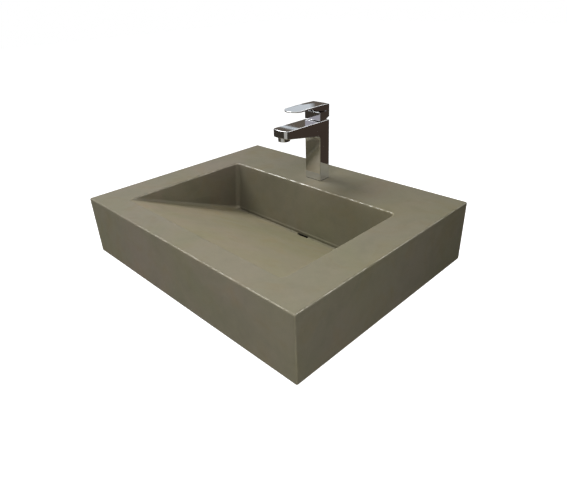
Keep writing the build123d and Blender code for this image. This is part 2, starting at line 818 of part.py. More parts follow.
# Cartridge base with its two seals
disc_port_points = [(side * disc_port_spread, -disc_port_forward) for side in (-1, 1)]
with BuildPart() as cartridge_base:
    with BuildSketch(tap.offset(seat_height)):
        Circle(cartridge_diameter / 2)
        with Locations((0, -cartridge_diameter / 2)):
            Rectangle(outlet_groove_width, cartridge_diameter + 2 * disc_outlet_back, mode=Mode.SUBTRACT)
        with Locations((0, disc_outlet_back)):
            Circle(outlet_groove_width / 2, mode=Mode.SUBTRACT)
        with Locations(*inlet_points):
            Circle(port_diameter / 2, mode=Mode.SUBTRACT)
    extrude(amount=cartridge_base_height)
    with BuildSketch(tap.offset(base_level)):
        for inlet, port in zip(inlet_points, disc_port_points):
            middle = ((inlet[0] + port[0]) / 2, (inlet[1] + port[1]) / 2)
            SlotCenterPoint(middle, port, port_slot_width)
    extrude(amount=-port_slot_height, mode=Mode.SUBTRACT)
    with BuildSketch(tap.offset(seat_height)):
        with Locations(*inlet_points):
            Circle(port_seal_diameter / 2 + port_seal_gap)
    extrude(amount=port_seal_section + 2 * port_seal_gap, mode=Mode.SUBTRACT)
cartridge_base.part.label = "cartridge_base"
export_step(cartridge_base.part, "parts/cartridge_base.step")

with BuildPart() as port_seals:
    with BuildSketch(tap.offset(seat_height + port_seal_gap)):
        with Locations(*inlet_points):
            Circle(port_seal_diameter / 2)
            Circle(port_seal_diameter / 2 - port_seal_section, mode=Mode.SUBTRACT)
    extrude(amount=port_seal_section)
port_seals.part.label = "port_seals"
export_step(port_seals.part, "parts/port_seals.step")

# Ceramic discs and the carrier that the stem pushes
with BuildPart() as fixed_disc:
    with BuildSketch(tap.offset(base_level)):
        Circle(disc_diameter / 2)
        with Locations(*disc_port_points):
            Circle(disc_port_diameter / 2, mode=Mode.SUBTRACT)
        with Locations((0, disc_outlet_back)):
            Circle(disc_outlet_diameter / 2, mode=Mode.SUBTRACT)
    extrude(amount=fixed_disc_height)
fixed_disc.part.label = "fixed_disc"
export_step(fixed_disc.part, "parts/fixed_disc.step")

with BuildPart() as moving_disc:
    with BuildSketch(tap.offset(disc_level)):
        with Locations((0, moving_disc_back)):
            Circle(moving_disc_diameter / 2)
    extrude(amount=moving_disc_height)
    with BuildSketch(tap.offset(disc_level)):
        with Locations((0, disc_pocket_back)):
            SlotOverall(disc_pocket_length, disc_pocket_width)
    extrude(amount=disc_pocket_depth, mode=Mode.SUBTRACT)
moving_disc.part.label = "moving_disc"
export_step(moving_disc.part, "parts/moving_disc.step")

with BuildPart() as disc_carrier:
    with BuildSketch(tap.offset(carrier_level)):
        with Locations((0, moving_disc_back)):
            Circle(moving_disc_diameter / 2)
        Circle(peg_hole_diameter / 2, mode=Mode.SUBTRACT)
    extrude(amount=disc_carrier_height)
disc_carrier.part.label = "disc_carrier"
export_step(disc_carrier.part, "parts/disc_carrier.step")

# Cartridge shell, and the ring nut that holds it down
with BuildPart() as cartridge_shell:
    with BuildSketch(tap.offset(base_level)):
        Circle(cartridge_diameter / 2)
        Circle(guide_diameter / 2 + guide_clearance, mode=Mode.SUBTRACT)
    extrude(amount=cartridge_shell_height)
    with BuildSketch(tap.offset(base_level)):
        Circle(cavity_diameter / 2)
    extrude(amount=shoulder_level + disc_gap - base_level, mode=Mode.SUBTRACT)
cartridge_shell.part.label = "cartridge_shell"
export_step(cartridge_shell.part, "parts/cartridge_shell.step")

with BuildPart() as cartridge_nut:
    with BuildSketch(tap.offset(shell_top_level)):
        Circle(chamber_diameter / 2 - nut_outer_gap)
        Circle(nut_inner_diameter / 2, mode=Mode.SUBTRACT)
    extrude(amount=nut_height)
    with BuildSketch(tap.offset(shell_top_level + nut_height)):
        with PolarLocations(nut_inner_diameter / 2, 4):
            Rectangle(2 * nut_notch_depth, nut_notch_width)
    extrude(amount=-nut_notch_depth, mode=Mode.SUBTRACT)
cartridge_nut.part.label = "cartridge_nut"
export_step(cartridge_nut.part, "parts/cartridge_nut.step")

# Guide that turns in the shell, and the pin that the stem tilts on
guide_top = spout_top - guide_top_gap
pivot = Plane(
    origin=(tap_offset, -tap_setback, deck_top + pivot_height), x_dir=(0, 1, 0), z_dir=(1, 0, 0)
)
with BuildPart() as cartridge_guide:
    with BuildSketch(tap.offset(guide_level)):
        Circle(guide_flange_diameter / 2)
        with Locations((0, (guide_slot_back - guide_slot_forward) / 2)):
            SlotOverall(
                guide_slot_back + guide_slot_forward, 2 * guide_slot_back, rotation=90, mode=Mode.SUBTRACT
            )
    extrude(amount=guide_flange_height)
    with BuildSketch(tap.offset(shoulder_level)):
        Circle(guide_diameter / 2)
        Rectangle(stem_side + 2 * stem_slot_clearance, guide_diameter, mode=Mode.SUBTRACT)
    extrude(amount=guide_top - shoulder_level)
    with BuildSketch(pivot):
        Circle(pin_diameter / 2 + pin_press_clearance)
    extrude(amount=guide_diameter, both=True, mode=Mode.SUBTRACT)
cartridge_guide.part.label = "cartridge_guide"
export_step(cartridge_guide.part, "parts/cartridge_guide.step")

with BuildPart() as guide_pin:
    with BuildSketch(pivot):
        Circle(pin_diameter / 2)
    extrude(amount=pin_length / 2, both=True)
guide_pin.part.label = "guide_pin"
export_step(guide_pin.part, "parts/guide_pin.step")

# Stem, square above and with a round peg below
with BuildPart() as stem:
    with BuildSketch(tap.offset(stem_foot_level)):
        RectangleRounded(stem_side, stem_side, stem_edge_round)
    extrude(amount=block_top - socket_roof - stem_top_gap - stem_foot_level)
    with BuildSketch(tap.offset(peg_foot_level)):
        Circle(peg_diameter / 2)
    extrude(amount=stem_foot_level - peg_foot_level)
    with BuildSketch(pivot):
        Circle(pin_diameter / 2 + pin_running_clearance)
    extrude(amount=stem_side, both=True, mode=Mode.SUBTRACT)
stem.part.label = "stem"
export_step(stem.part, "parts/stem.step")

# Handle: the block on the stem and the flat lever over the spout, in one casting
tilt = math.radians(tilt_limit)
block_half = tap_depth / 2
swing_level = spout_top - pivot_height + handle_swing_clearance
relief_start = ((block_bottom - pivot_height) * math.cos(tilt) - swing_level) / math.sin(tilt)
relief_rise = pivot_height + (swing_level + block_half * math.sin(tilt)) / math.cos(tilt)
lever_tip_top = lever_top - lever_tip_drop
lever_end = -lever_tip_reach - trim_margin
plate_underside = lever_top + lever_crown - lever_thickness
lever_curve_middle = (lever_root - lever_plate_start) / 2
pocket_length = tap_width - 2 * handle_wall
pocket_width = tap_depth - 2 * handle_wall
with BuildPart() as handle:
    with BuildSketch(tap_side) as handle_profile:
        with BuildLine():
            Line((block_half, relief_rise), (block_half, lever_top))
            ThreePointArc(
                (block_half, lever_top),
                (-lever_tip_reach / 3, lever_top + lever_crown),
                (lever_end, lever_tip_top),
            )
            Polyline(
                (lever_end, lever_tip_top),
                (lever_end, lever_tip_top - lever_tip_thickness),
                (-lever_plate_start, plate_underside),
            )
            ThreePointArc(
                (-lever_plate_start, plate_underside),
                (lever_curve_middle, block_top + lever_curve_rise),
                (lever_root, block_top + lever_root_gap),
            )
            Polyline(
                (lever_root, block_top + lever_root_gap),
                (lever_root, block_top),
                (-block_half, block_top),
                (-block_half, block_bottom),
                (relief_start, block_bottom),
                (block_half, relief_rise),
            )
        make_face()
        rear_corner = handle_profile.vertices().sort_by_distance((block_half, lever_top))[0]
        fillet(rear_corner, lever_rear_round)
    extrude(amount=tap_width / 2, both=True)
    # plan outline of the lever
    with BuildSketch(tap) as lever_plan:
        with BuildLine():
            Line((tap_width / 2, -lever_shoulder_reach), (tap_width / 2, block_half))
            Line((tap_width / 2, block_half), (-tap_width / 2, block_half))
            Line((-tap_width / 2, block_half), (-tap_width / 2, -lever_shoulder_reach))
            ThreePointArc(
                (-tap_width / 2, -lever_shoulder_reach),
                (0, -lever_tip_reach),
                (tap_width / 2, -lever_shoulder_reach),
            )
        make_face()
        fillet(lever_plan.vertices().group_by(Axis.Y)[0], lever_corner_round)
    extrude(amount=2 * lever_top, mode=Mode.INTERSECT)
    lever_rim = handle.faces().sort_by(Axis.Z)[-1].edges().filter_by(Axis.X, reverse=True)
    fillet(lever_rim, handle_edge_round)
    plate_rim = handle.faces().filter_by(GeomType.PLANE).sort_by(Axis.Y)[0].edges().sort_by(Axis.Y)[:-1]
    fillet(plate_rim, handle_edge_round)
    block_front = handle.edges().filter_by(
        lambda e: abs(e.center().Y + tap_setback + block_half) < 0.01
    )
    fillet(block_front, handle_edge_round)
    # pocket underneath with a boss round the stem
    with BuildSketch(tap.offset(block_bottom)):
        RectangleRounded(pocket_length, pocket_width, handle_wall / 2)
        Rectangle(handle_boss_side, handle_boss_side, mode=Mode.SUBTRACT)
    extrude(amount=handle_pocket_depth, mode=Mode.SUBTRACT)
    with BuildSketch(tap.offset(block_bottom)):
        Rectangle(stem_side + 2 * socket_clearance, stem_side + 2 * socket_clearance)
    extrude(amount=block_top - socket_roof - block_bottom, mode=Mode.SUBTRACT)
    # hole for the grub screw and its plug, from the back
    with BuildSketch(grub_face):
        Circle(grub_diameter / 2 + grub_clearance)
    extrude(amount=block_half, mode=Mode.SUBTRACT)
    with BuildSketch(grub_face):
        Circle(plug_diameter / 2 + grub_clearance)
    extrude(amount=plug_thickness, mode=Mode.SUBTRACT)
handle.part.label = "handle"
export_step(handle.part, "parts/handle.step")

with BuildPart() as handle_screw:
    with BuildSketch(grub_face.offset(block_half - stem_side / 2)):
        Circle(grub_diameter / 2)
        RegularPolygon(grub_diameter / 4, 6, mode=Mode.SUBTRACT)
    extrude(amount=-grub_length)
    with BuildSketch(grub_face.offset(block_half - stem_side / 2)):
        Circle(grub_diameter / 2)
    extrude(amount=-grub_length / 2)
handle_screw.part.label = "handle_screw"
export_step(handle_screw.part, "parts/handle_screw.step")

with BuildPart() as handle_plug:
    with BuildSketch(grub_face):
        Circle(plug_diameter / 2)
    extrude(amount=plug_thickness)
handle_plug.part.label = "handle_plug"
export_step(handle_plug.part, "parts/handle_plug.step")

# Aerator: housing, insert and washer
with BuildPart() as aerator_housing:
    with BuildSketch(aerator_plane):
        Circle(aerator_diameter / 2)
    extrude(amount=aerator_neck_base)
    with BuildSketch(aerator_plane.offset(aerator_neck_base)):
        Circle(aerator_neck_diameter / 2)
    extrude(amount=aerator_neck_height)
    with BuildSketch(aerator_plane):
        Circle(aerator_bore_diameter / 2)
    extrude(amount=aerator_neck_top, mode=Mode.SUBTRACT)
    with BuildSketch(aerator_plane):
        Circle(aerator_diameter)
        Rectangle(aerator_flats, 2 * aerator_diameter, mode=Mode.SUBTRACT)
    extrude(amount=aerator_flats_height, mode=Mode.SUBTRACT)
aerator_housing.part.label = "aerator_housing"
export_step(aerator_housing.part, "parts/aerator_housing.step")

with BuildPart() as aerator_insert:
    with BuildSketch(aerator_plane.offset(aerator_insert_inset)):
        Circle(aerator_bore_diameter / 2 - aerator_insert_clearance)
        Circle(aerator_hole_diameter / 2, mode=Mode.SUBTRACT)
        for ring in (1, 2):
            with PolarLocations(ring * aerator_hole_pitch, 6 * ring):
                Circle(aerator_hole_diameter / 2, mode=Mode.SUBTRACT)
    extrude(amount=aerator_insert_thickness)
aerator_insert.part.label = "aerator_insert"
export_step(aerator_insert.part, "parts/aerator_insert.step")

with BuildPart() as aerator_washer:
    with BuildSketch(aerator_plane.offset(aerator_neck_top)):
        Circle(aerator_neck_diameter / 2)
        Circle(aerator_bore_diameter / 2, mode=Mode.SUBTRACT)
    extrude(amount=aerator_washer_thickness)
aerator_washer.part.label = "aerator_washer"
export_step(aerator_washer.part, "parts/aerator_washer.step")
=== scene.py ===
import json
import math

import bpy
from mathutils import Matrix, Vector


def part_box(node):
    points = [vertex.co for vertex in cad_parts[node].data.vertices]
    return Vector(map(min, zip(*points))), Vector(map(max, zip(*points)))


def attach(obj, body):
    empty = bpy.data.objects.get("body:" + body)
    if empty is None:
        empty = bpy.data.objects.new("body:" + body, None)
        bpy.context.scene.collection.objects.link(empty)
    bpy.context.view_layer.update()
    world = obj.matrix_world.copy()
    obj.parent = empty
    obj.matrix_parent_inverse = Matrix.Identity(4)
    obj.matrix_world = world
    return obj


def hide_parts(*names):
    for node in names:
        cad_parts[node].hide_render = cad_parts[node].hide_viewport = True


# Looks of a wall-hung concrete ramp sink with a chrome mixer tap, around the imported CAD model.
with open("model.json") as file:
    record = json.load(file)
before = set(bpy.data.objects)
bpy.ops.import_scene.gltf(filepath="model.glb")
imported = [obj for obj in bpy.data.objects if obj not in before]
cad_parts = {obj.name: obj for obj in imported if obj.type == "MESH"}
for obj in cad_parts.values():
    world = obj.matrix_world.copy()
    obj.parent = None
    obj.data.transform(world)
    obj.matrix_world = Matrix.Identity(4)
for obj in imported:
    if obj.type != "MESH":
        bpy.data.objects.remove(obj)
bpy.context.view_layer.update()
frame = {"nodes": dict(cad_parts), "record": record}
nodes = frame["nodes"]
scene = bpy.context.scene
scene.view_settings.view_transform = "Standard"
print("frame loaded:", len(nodes), "nodes")


# Small helpers for material nodes
def newMaterial(name):
    material = bpy.data.materials.new(name)
    material.use_nodes = True
    tree = material.node_tree
    tree.nodes.clear()
    output = tree.nodes.new("ShaderNodeOutputMaterial")
    shader = tree.nodes.new("ShaderNodeBsdfPrincipled")
    tree.links.new(shader.outputs["BSDF"], output.inputs["Surface"])
    return material, tree, shader


def addNode(tree, kind, inputs=None, **settings):
    node = tree.nodes.new(kind)
    for key, value in settings.items():
        setattr(node, key, value)
    for key, value in (inputs or {}).items():
        if isinstance(value, bpy.types.NodeSocket):
            tree.links.new(value, node.inputs[key])
        else:
            node.inputs[key].default_value = value
    return node


def mixColours(tree, factor, first, second, blend="MIX"):
    node = addNode(tree, "ShaderNodeMix", data_type="RGBA", blend_type=blend)
    for index, value in ((0, factor), (6, first), (7, second)):
        if isinstance(value, bpy.types.NodeSocket):
            tree.links.new(value, node.inputs[index])
        else:
            node.inputs[index].default_value = value
    return node.outputs[2]


def remap(tree, value, low, high, newLow=0.0, newHigh=1.0):
    inputs = {
        "Value": value, "From Min": low, "From Max": high, "To Min": newLow, "To Max": newHigh,
    }
    return addNode(tree, "ShaderNodeMapRange", inputs).outputs["Result"]


def objectPlace(tree):
    return addNode(tree, "ShaderNodeTexCoord").outputs["Object"]


def noise(tree, place, scale, detail=4.0, roughness=0.55, distortion=0.0):
    inputs = {
        "Vector": place, "Scale": scale, "Detail": detail, "Roughness": roughness,
        "Distortion": distortion,
    }
    return addNode(tree, "ShaderNodeTexNoise", inputs).outputs["Fac"]


def math2(tree, operation, first, second=0.0, clamp=False):
    inputs = {0: first, 1: second}
    node = addNode(tree, "ShaderNodeMath", inputs, operation=operation, use_clamp=clamp)
    return node.outputs[0]


def times(tree, first, second):
    return math2(tree, "MULTIPLY", first, second)


def mixNumbers(tree, factor, first, second):
    return addNode(tree, "ShaderNodeMix", {0: factor, 2: first, 3: second}).outputs[0]


def stretch(tree, place, factors):
    inputs = {0: place, 1: factors}
    return addNode(tree, "ShaderNodeVectorMath", inputs, operation="MULTIPLY").outputs[0]


def band(tree, value, low, high, soft):
    rise = remap(tree, value, low - soft, low + soft)
    fall = remap(tree, value, high - soft, high + soft, 1.0, 0.0)
    return times(tree, rise, fall)


def shade(tree, colour, mask, strength, tone):
    return mixColours(tree, times(tree, mask, strength), colour, tone, "MULTIPLY")


def addBump(tree, shader, height, strength, depth):
    inputs = {"Height": height, "Strength": strength, "Distance": depth}
    bump = addNode(tree, "ShaderNodeBump", inputs)
    tree.links.new(bump.outputs["Normal"], shader.inputs["Normal"])


# Concrete: cast, trowelled and sealed. Places are in metres, in the part's own frame.
concrete = {
    "tones": {
        "base": (0.250, 0.228, 0.165, 1),
        "dark": (0.80, 0.80, 0.80, 1),
        "green": (0.93, 0.97, 0.86, 1),
        "brown": (1.01, 0.95, 0.87, 1),
        "pale": (1.26, 1.24, 1.16, 1),
        "purple": (1.03, 0.965, 1.02, 1),
        "lowWallShadeTone": (0.60, 0.59, 0.60, 1),
        "rearSideShade": (0.70, 0.66, 0.66, 1),
        "frontRightShade": (0.80, 0.78, 0.74, 1),
        "pit": (0.45, 0.44, 0.42, 1),
        "bloom": (1.22, 1.24, 1.26, 1),
        "slotShade": (0.006, 0.006, 0.005, 1),
    },
    # noise scale, detail, roughness and distortion
    "patterns": {
        "clouds": (4.2, 4, 0.55, 0.6),
        "drift": (11, 5, 0.6, 1.4),
        "mottle": (38, 4, 0.6, 0.3),
        "grit": (260, 3, 0.6),
        "blotches": (7.5, 3, 0.5, 0.8),
        "pitPatches": (17, 2),
        "chips": (75, 4, 0.65),
    },
    # pattern, limits of its mask, strength and tone, in the order they are laid
    "layers": (
        ("clouds", (0.36, 0.66), 1.0, "green"),
        ("drift", (0.50, 0.72), 0.8, "brown"),
        ("drift", (0.30, 0.48, 1, 0), 0.35, "dark"),
        ("blotches", (0.40, 0.60), 1.0, "purple"),
        ("blotches", (0.62, 0.38), 0.25, "dark"),
        ("mottle", (0.45, 0.7), 0.30, "dark"),
        ("grit", (0.35, 0.65), 0.12, "dark"),
    ),
    "places": {
        "crease": -0.4318,
        "backRim": -0.133,
        "rimSoftness": 0.002,
        "sideRim": (0.2285, 0.2315),
        "deckLevel": 0.063,
        "rampSlope": -0.4055,
        "rimEdge": (0.058, 0.061),
        "outerCorner": (0.2990, 0.3010),
        "slotCentre": 0.008,
        "slotEnd": (0.0155, 0.0165),
        "slotSides": (-0.1585, -0.1485, 0.0003),
        "slotLip": (-0.0520, -0.0516),
        "wallFade": (-0.36, -0.22),
        "deckFade": (-0.30, -0.03),
        "rearFade": (-0.26, -0.04),
        "frontFace": (-0.478, -0.481),
        "frontRightFade": (-0.05, 0.40),
        "frontLeftFade": (-0.62, -0.20, 1, 0.35),
        "deepCorner": (-0.245, -0.150),
        "deepCornerFade": (-0.30, -0.17),
        "deepCornerLean": 0.9,
        "lowWallShadeHeight": 0.085,
    },
    # limits of one part of a face's normal
    "turns": {
        "ramp": (0.88, 0.955, 0.012),
        "upright": (0.25, 0.55),
        "level": (0.985, 0.998),
        "rounded": (0.78, 0.91),
        "squareOn": (0.9, 0.98),
        "sideWall": (0.3, 0.7, 0.22, 1.0),
        "below": (-0.35, -0.7),
    },
    "strengths": {
        "walls": 0.75,
        "lowWallShade": 0.65,
        "deepCorner": 0.85,
        "shadeByWall": 0.45,
        "frontRightShade": 0.35,
        "rearSideShade": 0.35,
        "pits": 0.8,
        "bloom": 0.8,
    },
    "rampClouds": (0.3, 0.7, 0.95, 1.25),
    "streakPattern": (21, 5, 0.6, 0.9),
    "streakStretch": (0.5, 0.4, 1.3),
    "streakLimits": (0.44, 0.60),
    "pitScale": 42.0,
    "pitRadius": (0.016, 0.030),
    "pitPatchLimits": (0.48, 0.56),
    "bloomLimits": (0.45, 0.62),
    "wearAndHighlightLimits": (0.42, 0.60, 0.08, 1.0),
    "driftLimits": (0.3, 0.7),
    "roughness": (0.46, 0.62),
    "edgeRoughness": 0.30,
    "sealerRoughness": 0.24,
    "sealerIndex": 2.0,
    "specular": 0.2,
    "gritHeight": 0.16,
    "pitHeight": 1.6,
    "bumpStrength": 0.35,
    "bumpDepth": 0.0005,
}


def makeConcrete():
    material, tree, shader = newMaterial("sealedConcrete")
    shader.inputs["Specular IOR Level"].default_value = concrete["specular"]
    shader.inputs["Coat Roughness"].default_value = concrete["sealerRoughness"]
    shader.inputs["Coat IOR"].default_value = concrete["sealerIndex"]
    tones, places = concrete["tones"], concrete["places"]
    turns, strengths = concrete["turns"], concrete["strengths"]
    place = objectPlace(tree)
    spot = addNode(tree, "ShaderNodeSeparateXYZ", {"Vector": place})
    facing = addNode(tree, "ShaderNodeNewGeometry").outputs["Normal"]
    turned = addNode(tree, "ShaderNodeSeparateXYZ", {"Vector": facing})
    x, y, z = (spot.outputs[axis] for axis in "XYZ")
    xAway = math2(tree, "ABSOLUTE", x)
    nx, ny, nz = (math2(tree, "ABSOLUTE", turned.outputs[axis]) for axis in "XYZ")
    fields = {name: noise(tree, place, *values) for name, values in concrete["patterns"].items()}

    # places on the casting
    inBasin = band(tree, y, places["crease"], places["backRim"], places["rimSoftness"])
    inBasin = times(tree, inBasin, remap(tree, xAway, *places["sideRim"], 1, 0))
    onRamp = times(tree, inBasin, band(tree, nz, *turns["ramp"]))
    onWalls = times(tree, inBasin, remap(tree, nz, *turns["upright"], 1, 0))
    onWalls = times(tree, onWalls, remap(tree, y, *places["wallFade"]))
    shadeByWall = times(tree, remap(tree, nz, *turns["level"]), remap(tree, y, *places["deckFade"]))
    slotAway = math2(tree, "ABSOLUTE", math2(tree, "SUBTRACT", x, places["slotCentre"]))
    inSlot = remap(tree, z, *places["slotLip"], 1, 0)
    inSlot = times(tree, inSlot, remap(tree, slotAway, *places["slotEnd"], 1, 0))
    inSlot = times(tree, inSlot, band(tree, y, *places["slotSides"]))
    straight = math2(tree, "MAXIMUM", math2(tree, "MAXIMUM", nx, ny), nz)
    rounding = remap(tree, straight, *turns["rounded"], 1, 0)
    topEdge = remap(tree, z, *places["rimEdge"])
    outerCorner = remap(tree, xAway, *places["outerCorner"])
    onEdge = times(tree, rounding, math2(tree, "MAXIMUM", topEdge, outerCorner))

    # tones: broad clouds, trowel drift, small mottle
    frontLeft = remap(tree, math2(tree, "ADD", x, y), *places["frontLeftFade"])
    colour = tones["base"]
    for pattern, limits, strength, tone in concrete["layers"]:
        mask = remap(tree, fields[pattern], *limits)
        if tone == "purple":
            mask = times(tree, mask, frontLeft)
        colour = shade(tree, colour, mask, strength, tones[tone])
    # the ramp is painted paler: painted light on that face
    rampPaintedLight = remap(tree, fields["clouds"], *concrete["rampClouds"])
    colour = shade(tree, colour, onRamp, rampPaintedLight, tones["pale"])
    # the basin walls are painted darker: painted shade
    colour = shade(tree, colour, onWalls, strengths["walls"], tones["dark"])

    # painted shade low on the basin walls, in streaks, deepest in the back left corner
    rampLevel = times(tree, math2(tree, "SUBTRACT", y, places["crease"]), places["rampSlope"])
    rampLevel = math2(tree, "ADD", rampLevel, places["deckLevel"])
    aboveRamp = math2(tree, "SUBTRACT", z, rampLevel)
    stretched = stretch(tree, place, concrete["streakStretch"])
    streaks = noise(tree, stretched, *concrete["streakPattern"])
    lowDown = remap(tree, aboveRamp, 0.0, places["lowWallShadeHeight"], 1, 0)
    lowWallShade = times(tree, lowDown, remap(tree, streaks, *concrete["streakLimits"]))
    lowWallShade = times(tree, lowWallShade, remap(tree, nx, *turns["sideWall"]))
    leaning = math2(tree, "ADD", x, times(tree, z, places["deepCornerLean"]))
    inCorner = remap(tree, leaning, *places["deepCorner"], 1, 0)
    inCorner = times(tree, inCorner, remap(tree, y, *places["deepCornerFade"]))
    lowWallShade = math2(tree, "MAXIMUM", lowWallShade, times(tree, inCorner, strengths["deepCorner"]))
    lowWallShade = times(tree, onWalls, lowWallShade)
    colour = shade(tree, colour, lowWallShade, strengths["lowWallShade"], tones["lowWallShadeTone"])

    # painted shade: darker on the deck by the wall, on the front's right part and towards the rear of the
    # sides
    colour = shade(tree, colour, shadeByWall, strengths["shadeByWall"], tones["dark"])
    frontRightShade = remap(tree, ny, *turns["squareOn"])
    frontRightShade = times(tree, frontRightShade, remap(tree, y, *places["frontFace"]))
    acrossFront = math2(tree, "SUBTRACT", x, z)
    frontRightShade = times(tree, frontRightShade, remap(tree, acrossFront, *places["frontRightFade"]))
    colour = shade(tree, colour, frontRightShade, strengths["frontRightShade"], tones["frontRightShade"])
    rearSideShade = times(tree, remap(tree, nx, *turns["squareOn"]), remap(tree, y, *places["rearFade"]))
    colour = shade(tree, colour, rearSideShade, strengths["rearSideShade"], tones["rearSideShade"])

    # pinholes left by air bubbles
    cellInputs = {"Vector": place, "Scale": concrete["pitScale"]}
    cells = addNode(tree, "ShaderNodeTexVoronoi", cellInputs, feature="F1")
    pits = remap(tree, cells.outputs["Distance"], *concrete["pitRadius"], 1, 0)
    pits = times(tree, pits, remap(tree, fields["pitPatches"], *concrete["pitPatchLimits"]))
    colour = shade(tree, colour, pits, strengths["pits"], tones["pit"])

    # lime bloom on the faces that look down
    below = remap(tree, turned.outputs["Z"], *turns["below"])
    bloom = times(tree, below, remap(tree, fields["clouds"], *concrete["bloomLimits"]))
    colour = shade(tree, colour, bloom, strengths["bloom"], tones["bloom"])

    # worn edges, painted paler as a highlight, and the slot, painted black as shade
    wearAndHighlight = times(tree, onEdge, remap(tree, fields["chips"], *concrete["wearAndHighlightLimits"]))
    colour = shade(tree, colour, wearAndHighlight, 1.0, tones["pale"])
    # painted shade: the inside of the slot is painted near black
    colour = mixColours(tree, inSlot, colour, tones["slotShade"])
    tree.links.new(colour, shader.inputs["Base Color"])

    gloss = remap(tree, fields["drift"], *concrete["driftLimits"], *concrete["roughness"])
    edgeGloss = mixNumbers(tree, wearAndHighlight, gloss, concrete["edgeRoughness"])
    tree.links.new(edgeGloss, shader.inputs["Roughness"])
    tree.links.new(wearAndHighlight, shader.inputs["Coat Weight"])

    heightInputs = {0: fields["grit"], 1: concrete["gritHeight"], 2: fields["mottle"]}
    height = addNode(tree, "ShaderNodeMath", heightInputs, operation="MULTIPLY_ADD").outputs[0]
    height = math2(tree, "SUBTRACT", height, times(tree, pits, concrete["pitHeight"]))
    addBump(tree, shader, height, concrete["bumpStrength"], concrete["bumpDepth"])
    return material


# Handling marks and dust, shared by every finish but the concrete
handling = {
    "film": (4, 0.6, 0.5),
    "filmLimits": (0.42, 0.68),
    "grain": (3, 0.6),
    "scratches": (95, 2, 0.7, 3.0),
    "scratchBand": (0.495, 0.505, 0.004),
    "scratchRoughness": 0.18,
    "scratchDepth": 0.1,
    "upward": (0.6, 0.95),
    "specks": (420, 3, 0.7),
    "speckLimits": (0.45, 0.62),
    "dustRoughness": 0.35,
    "dustTone": (0.34, 0.32, 0.28, 1),
}
markInputs = {
    "NodeSocketColor": ("Base Tone", "Film Tone", "Dust Tone"),
    "NodeSocketFloat": ("Film Scale", "Grain Scale", "Smooth", "Rough", "Dust", "Scuffs"),
    "NodeSocketVector": ("Grain Stretch",),
}
markOutputs = {"NodeSocketColor": ("Tone",), "NodeSocketFloat": ("Roughness", "Height")}


def buildSurfaceMarks():
    group = bpy.data.node_groups.new("surfaceMarks", "ShaderNodeTree")
    for direction, sockets in (("INPUT", markInputs), ("OUTPUT", markOutputs)):
        for kind, names in sockets.items():
            for name in names:
                group.interface.new_socket(name, in_out=direction, socket_type=kind)
    given = group.nodes.new("NodeGroupInput").outputs
    result = group.nodes.new("NodeGroupOutput").inputs
    place = objectPlace(group)
    film = noise(group, place, given["Film Scale"], *handling["film"])
    filmMask = remap(group, film, *handling["filmLimits"])
    stretched = stretch(group, place, given["Grain Stretch"])
    grain = noise(group, stretched, given["Grain Scale"], *handling["grain"])
    scratches = noise(group, stretched, *handling["scratches"])
    scratchMask = band(group, scratches, *handling["scratchBand"])
    scratchMask = times(group, scratchMask, given["Scuffs"])
    facing = addNode(group, "ShaderNodeNewGeometry").outputs["Normal"]
    turned = addNode(group, "ShaderNodeSeparateXYZ", {"Vector": facing})
    upward = remap(group, turned.outputs["Z"], *handling["upward"])
    specks = remap(group, noise(group, place, *handling["specks"]), *handling["speckLimits"])
    dustMask = times(group, times(group, upward, specks), given["Dust"])
    tone = mixColours(group, filmMask, given["Base Tone"], given["Film Tone"])
    tone = mixColours(group, dustMask, tone, given["Dust Tone"])
    group.links.new(tone, result["Tone"])
    rough = mixNumbers(group, filmMask, given["Smooth"], given["Rough"])
    rough = math2(group, "ADD", rough, times(group, dustMask, handling["dustRoughness"]))
    scratchRough = times(group, scratchMask, handling["scratchRoughness"])
    rough = math2(group, "ADD", rough, scratchRough, clamp=True)
    group.links.new(rough, result["Roughness"])
    dents = times(group, scratchMask, handling["scratchDepth"])
    group.links.new(math2(group, "SUBTRACT", grain, dents), result["Height"])
    return group


surfaceMarks = buildSurfaceMarks()


def makeFinish(name, look):
    material, tree, shader = newMaterial(name)
    smooth, rough = look["roughness"]
    inputs = {
        "Base Tone": look["tone"], "Film Tone": look["film"], "Dust Tone": handling["dustTone"],
        "Film Scale": look["filmScale"], "Grain Scale": look["grainScale"],
        "Grain Stretch": look.get("stretch", (1, 1, 1)), "Smooth": smooth, "Rough": rough,
        "Dust": look["dust"], "Scuffs": look["scuffs"],
    }
    marks = addNode(tree, "ShaderNodeGroup", inputs, node_tree=surfaceMarks)
    tree.links.new(marks.outputs["Tone"], shader.inputs["Base Color"])
    tree.links.new(marks.outputs["Roughness"], shader.inputs["Roughness"])
    addBump(tree, shader, marks.outputs["Height"], look["bump"], look["depth"])
    shader.inputs["Metallic"].default_value = look.get("metal", 0)
    shader.inputs["Coat Weight"].default_value = look.get("coat", 0)
    return material


